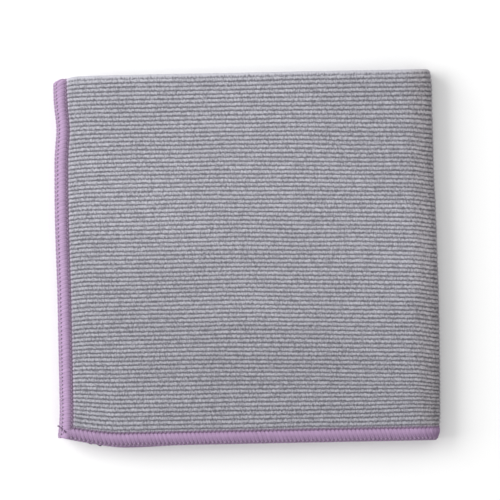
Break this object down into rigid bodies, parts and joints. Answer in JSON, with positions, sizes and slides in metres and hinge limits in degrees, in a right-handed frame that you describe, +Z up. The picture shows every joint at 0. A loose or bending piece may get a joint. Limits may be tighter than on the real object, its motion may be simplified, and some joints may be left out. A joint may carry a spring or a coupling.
{
  "type": "quick dry towel",
  "caption": "Square ribbed microfibre travel towel with an overlocked border, folded in quarters and lying flat; its outer fold opens.",
  "frame": {"origin": "under the middle of the folded towel, on the surface it lies on", "axes": "+X towards the outer fold, +Y towards the inner folds, +Z up; the overlocked edges are at -X and -Y"},
  "size_m": [0.1792, 0.173, 0.0103],
  "materials": {
    "ribbed_microfibre": "matte ribbed loop pile",
    "hem_thread": "soft fluffy overlock thread",
    "edge_thread": "matte spun thread"
  },
  "bodies": {
    "lower_half": {"cloth_lower_half": "ribbed_microfibre", "side_hem_lower_half": "hem_thread", "side_edge_chain_lower_half": "edge_thread", "side_needle_thread_lower_half": "edge_thread", "front_hem_ply_3": "hem_thread", "front_hem_ply_4": "hem_thread", "front_edge_chain_ply_3": "edge_thread", "front_edge_chain_ply_4": "edge_thread", "front_needle_thread_ply_3": "edge_thread", "front_needle_thread_ply_4": "edge_thread"},
    "upper_half": {"cloth_upper_half": "ribbed_microfibre", "side_hem_upper_half": "hem_thread", "side_edge_chain_upper_half": "edge_thread", "side_needle_thread_upper_half": "edge_thread", "front_hem_ply_1": "hem_thread", "front_hem_ply_2": "hem_thread", "front_edge_chain_ply_1": "edge_thread", "front_edge_chain_ply_2": "edge_thread", "front_needle_thread_ply_1": "edge_thread", "front_needle_thread_ply_2": "edge_thread", "thread_tail": "edge_thread"}
  },
  "joints": [
    {"name": "outer_fold", "type": "hinge", "parent": "lower_half", "child": "upper_half", "pos_m": [0.08975, 0, 0.00515], "axis": [0, 1, 0], "range_deg": [0, 180]}
  ]
}
